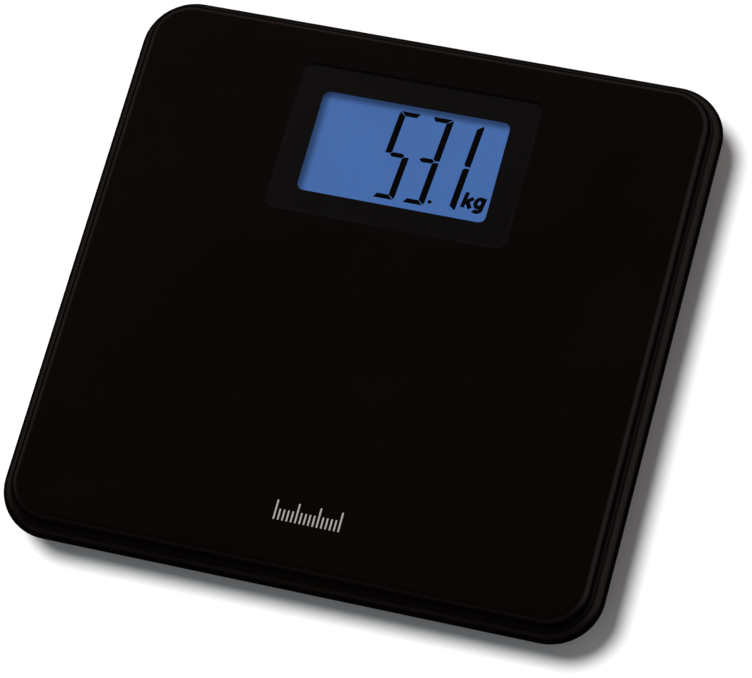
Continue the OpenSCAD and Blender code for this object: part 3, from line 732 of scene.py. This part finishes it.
def seven_segment(character, right):
    """Outlines of a digit's dark segments, upright. right is its right-hand stroke's middle."""
    left = right - DIGIT_STROKES
    mid = DIGIT_MID
    lit = LIT[character]
    joined, free, root = -1.0, 0.3, 1.6

    def bar(y, inward, left_stroke, right_stroke):
        """A top or bottom bar, which reaches out to the corner where a lit stroke meets it."""
        left_tip = joined if left_stroke in lit else free
        right_tip = joined if right_stroke in lit else free
        return [
            (left + left_tip, y), (right - right_tip, y),
            (right - root, y + inward * BAR), (left + root, y + inward * BAR),
        ]

    def upright(x, out, end, inward):
        """A half-height stroke at x. out points outwards from the digit, inward to its bar."""
        gap, corner_peak, inner_cut, outer_cut = 0.45, 1.3, 2.7, 1.7
        waist_peak, waist_cut = 0.7, 1.3
        return [
            (x + out * corner_peak, end + inward * gap),
            (x - out * STROKE_HALF, end + inward * inner_cut),
            (x - out * STROKE_HALF, mid - inward * waist_cut),
            (x - out * waist_peak, mid - inward * gap),
            (x + out * STROKE_HALF, mid - inward * gap),
            (x + out * STROKE_HALF, end + inward * outer_cut),
        ]

    shoulder, tip, half = 2.1, 0.75, 1.25
    outlines = {
        "a": bar(DIGIT_HIGH, -1, "f", "b"),
        "d": bar(DIGIT_LOW, 1, "e", "c"),
        "g": [
            (left + tip, mid), (left + shoulder, mid + half), (right - shoulder, mid + half),
            (right - tip, mid), (right - shoulder, mid - half), (left + shoulder, mid - half),
        ],
        "b": upright(right, 1, DIGIT_HIGH, -1),
        "c": upright(right, 1, DIGIT_LOW, 1),
        "f": upright(left, -1, DIGIT_HIGH, -1),
        "e": upright(left, -1, DIGIT_LOW, 1),
    }
    return [outlines[name] for name in lit]


def stroke_quads(points, width, closed=False):
    """A line of a given width as a row of four-sided outlines."""
    count = len(points)
    sides = []
    for i, p in enumerate(points):
        before = points[i - 1] if closed or i else p
        after = points[(i + 1) % count] if closed or i + 1 < count else p
        along = (Vector(after) - Vector(before)).normalized()
        across = Vector((-along.y, along.x)) * width / 2
        sides.append((Vector(p) + across, Vector(p) - across))
    last = count if closed else count - 1
    return [
        [*sides[i], *reversed(sides[(i + 1) % count])]
        for i in range(last)
    ]


def unit_outlines():
    """The unit next to the digits: a small k and g."""
    outlines = []
    weight = 2.1
    k_left, k_right, k_low, k_high = 34.65, 38.6, UNIT_LOW, 67.65
    waist = k_low + 2.9
    arm = [(k_left + 0.5, waist), (k_right, k_low + 5.7)]
    leg = [(k_left + 1.3, waist + 0.8), (k_right, k_low)]
    for line in ([(k_left, k_low), (k_left, k_high)], arm, leg):
        outlines += stroke_quads(line, weight)
    g_x, g_y, bowl_w, bowl_h = 42.2, 62.9, 1.85, 2.3
    steps = 24
    turns = [2 * math.pi * i / steps for i in range(steps)]
    bowl = [(g_x + bowl_w * math.cos(a), g_y + bowl_h * math.sin(a)) for a in turns]
    outlines += stroke_quads(bowl, weight, closed=True)
    stem_x, hook_y, hook_h = g_x + bowl_w, 59.6, 1.5
    hook = [(stem_x, g_y + bowl_h + 0.7), (stem_x, hook_y)]
    hook += [
        (g_x + bowl_w * math.cos(a), hook_y + hook_h * math.sin(a))
        for a in (math.radians(-20 - 16 * i) for i in range(9))
    ]
    return outlines + stroke_quads(hook, weight)


def reading():
    """The dark segments of the display: three digits, a point and the unit."""
    shell = Shell()
    low, high = lcd_hi.z + 0.005, lcd_hi.z + INK_T

    def leaning(points, lean, foot):
        return [(x + (y - foot) * lean, y) for x, y in points]

    for character, right in READING:
        for outline in seven_segment(character, right):
            shell.prism(leaning(outline, DIGIT_LEAN, DIGIT_LOW), low, high)
    px, py, radius = POINT
    shell.prism([(p.x, p.y) for p in circle_loop(px, py, radius, 0, 24)], low, high)
    for outline in unit_outlines():
        shell.prism(leaning(outline, UNIT_LEAN, UNIT_LOW), low, high)
    return shell.build("lcd_reading", looks["lcd_ink"], "case")


def front_mark():
    """A plain row of graduation ticks near the front edge, like the start of a rule."""
    shell = Shell()
    left, right, foot = -12.7, 20.3, -117.3
    ticks, width, tall, short = 16, 0.8, 9.9, 5.6
    pitch = (right - left - width) / (ticks - 1)
    for k in range(ticks):
        x = left + k * pitch
        height = tall if k % 5 == 0 else short
        top = foot + height
        outline = [(x, foot), (x + width, foot), (x + width, top), (x, top)]
        shell.prism(outline, TOP_Z - PRINT_T, TOP_Z + PRINT_T)
    return shell.build("front_mark", looks["mark_print"], "case")


looks["lcd_ink"] = ink("lcd_ink", (0.0002, 0.0002, 0.0004), 0.7, Specular_IOR_Level=0.0)
looks["mark_print"] = ink("mark_print", (0.37, 0.345, 0.325), 0.45)

dress_cad_nodes()
cover_shell()
lower_case()
window_sheet()
reading()
front_mark()


# ---- Floor, light and camera ----


def floor_look():
    """Plain white floor that a view from below looks through."""
    material = bpy.data.materials.new("floor")
    material.use_nodes = True
    tree = material.node_tree
    shader = tree.nodes["Principled BSDF"]
    shader.inputs["Base Color"].default_value = (0.96, 0.96, 0.96, 1)
    shader.inputs["Roughness"].default_value = 0.9
    shader.inputs["Specular IOR Level"].default_value = 0.0
    clear = tree.nodes.new("ShaderNodeBsdfTransparent")
    sides = tree.nodes.new("ShaderNodeMixShader")
    geometry = tree.nodes.new("ShaderNodeNewGeometry")
    tree.links.new(geometry.outputs["Backfacing"], sides.inputs["Fac"])
    tree.links.new(shader.outputs["BSDF"], sides.inputs[1])
    tree.links.new(clear.outputs["BSDF"], sides.inputs[2])
    tree.links.new(sides.outputs["Shader"], tree.nodes["Material Output"].inputs["Surface"])
    return material


def studio_floor():
    size = 12.0
    bm = bmesh.new()
    corners = [(-size, -size, 0), (size, -size, 0), (size, size, 0), (-size, size, 0)]
    bm.faces.new([bm.verts.new(c) for c in corners])
    mesh = bpy.data.meshes.new("studio_floor")
    bm.to_mesh(mesh)
    bm.free()
    mesh.materials.append(floor_look())
    floor = bpy.data.objects.new("studio_floor", mesh)
    bpy.context.scene.collection.objects.link(floor)
    floor.visible_glossy = False
    floor.visible_shadow = False


def dark_surround():
    """A dark sheet round the footprint that only reflections show: it keeps the sides black."""
    sheet = Shell()
    inner = sheet.ring(edge_loop(8, -1))
    outer = sheet.ring(rounded_loop(0, 0, 600, 600, 100, -1))
    sheet.flat(outer, inner)
    mesh = bpy.data.meshes.new("dark_surround")
    sheet.bm.to_mesh(mesh)
    sheet.bm.free()
    material = bpy.data.materials.new("dark_surround")
    material.use_nodes = True
    shader = material.node_tree.nodes["Principled BSDF"]
    shader.inputs["Base Color"].default_value = (0, 0, 0, 1)
    shader.inputs["Specular IOR Level"].default_value = 0.0
    mesh.materials.append(material)
    obj = bpy.data.objects.new("dark_surround", mesh)
    bpy.context.scene.collection.objects.link(obj)
    for rays in ("camera", "diffuse", "transmission", "volume_scatter", "shadow"):
        setattr(obj, "visible_" + rays, False)


# Brightness of the surroundings by height of direction, from straight down (-1) to straight up (1)
SURROUND = [
    (-1.0, 1.1), (-0.80, 0.55), (-0.50, 0.16), (-0.3, 0.02), (-0.05, 0.02),
    (0.08, 0.06), (0.18, 0.13), (0.34, 0.19), (0.56, 0.28), (0.68, 0.27),
    (0.76, 0.16), (0.82, 0.085), (0.87, 0.047), (0.91, 0.022), (1.0, 0.016),
]
FRONT_SHARE = 0.26  # how much of that brightness is left straight ahead of the scale
SURROUND_TINT = (1.12, 0.96, 0.90)  # a little warm, where the camera doesn't see it directly


def studio_world():
    """Dim surroundings: dark overhead, pale in a band lower down and straight below."""
    world = bpy.data.worlds.new("studio")
    bpy.context.scene.world = world
    world.use_nodes = True
    tree = world.node_tree
    links = tree.links
    split = tree.nodes.new("ShaderNodeSeparateXYZ")
    links.new(tree.nodes.new("ShaderNodeTexCoord").outputs["Generated"], split.inputs["Vector"])

    def spread(source, begin, end, low, high, shape="SMOOTHSTEP"):
        node = tree.nodes.new("ShaderNodeMapRange")
        node.interpolation_type = shape
        ends = {"From Min": begin, "From Max": end, "To Min": low, "To Max": high}
        for name, value in ends.items():
            node.inputs[name].default_value = value
        links.new(source, node.inputs["Value"])
        return node.outputs["Result"]

    def maths(operation, a, b):
        node = tree.nodes.new("ShaderNodeMath")
        node.operation = operation
        links.new(a, node.inputs[0])
        links.new(b, node.inputs[1])
        return node.outputs["Value"]

    ramp = tree.nodes.new("ShaderNodeValToRGB")
    ramp.color_ramp.interpolation = "LINEAR"
    stops = ramp.color_ramp.elements
    while len(stops) < len(SURROUND):
        stops.new(0.5)
    for stop, (z, level) in zip(stops, SURROUND):
        stop.position = (z + 1) / 2
        stop.color = (level, level, level, 1)
    # The pale band reaches higher on the right
    rightward = spread(split.outputs["X"], -0.2, 0.4, 0, 0.18)
    upward = spread(split.outputs["Z"], 0.3, 0.7, 0, 1)
    height = maths("SUBTRACT", split.outputs["Z"], maths("MULTIPLY", rightward, upward))
    links.new(spread(height, -1, 1, 0, 1, "LINEAR"), ramp.inputs["Fac"])
    away = spread(split.outputs["Y"], -0.35, 0.25, FRONT_SHARE, 1.0)
    side = spread(split.outputs["X"], -1, 1, 0.85, 1.15, "LINEAR")
    level = maths("MULTIPLY", maths("MULTIPLY", ramp.outputs["Color"], away), side)
    seen = tree.nodes.new("ShaderNodeLightPath").outputs["Is Camera Ray"]
    links.new(maths("MAXIMUM", level, seen), tree.nodes["Background"].inputs["Strength"])
    tint = tree.nodes.new("ShaderNodeMix")
    tint.data_type = "RGBA"
    tint.inputs[6].default_value = (*SURROUND_TINT, 1)
    tint.inputs[7].default_value = (1, 1, 1, 1)
    links.new(seen, tint.inputs["Factor"])
    links.new(tint.outputs[2], tree.nodes["Background"].inputs["Color"])


def soft_lamp(name, towards, strength, width, colour=(1, 1, 1)):
    """A broad lamp far away, whose own glint is kept off glossy and clear surfaces."""
    lamp = bpy.data.lights.new(name, "SUN")
    lamp.energy = strength
    lamp.color = colour
    lamp.angle = math.radians(width)
    obj = bpy.data.objects.new(name, lamp)
    bpy.context.scene.collection.objects.link(obj)
    obj.rotation_euler = Vector(towards).to_track_quat("Z", "Y").to_euler()
    obj.visible_glossy = False
    obj.visible_transmission = False


def photo_camera():
    """A long lens above the front right corner, turned a little clockwise."""
    azimuth, elevation, roll = map(math.radians, (33.616, 65.811, -20.243))
    camera = bpy.data.cameras.new("camera")
    camera.lens = 183.8
    camera.sensor_width = 36
    camera.clip_end = 40
    obj = bpy.data.objects.new("camera", camera)
    bpy.context.scene.collection.objects.link(obj)
    turn = (
        Matrix.Rotation(azimuth, 4, "Z")
        @ Matrix.Rotation(math.pi / 2 - elevation, 4, "X")
        @ Matrix.Rotation(roll, 4, "Z")
    )
    place = Vector((431.8, -649.3, 1700.4 + RIM_Z)) * MM
    obj.matrix_world = Matrix.Translation(place) @ turn
    bpy.context.scene.camera = obj


studio_floor()
dark_surround()
studio_world()
soft_lamp("key", (-0.39, 0.135, 1.0), 3.4, 27)
soft_lamp("fill", (0.0, -0.95, 0.75), 0.45, 90, (0.88, 1.0, 1.07))
soft_lamp("under", (-0.3, -0.5, -1.0), 2.5, 60)
photo_camera()
bpy.context.scene.view_settings.view_transform = "Standard"
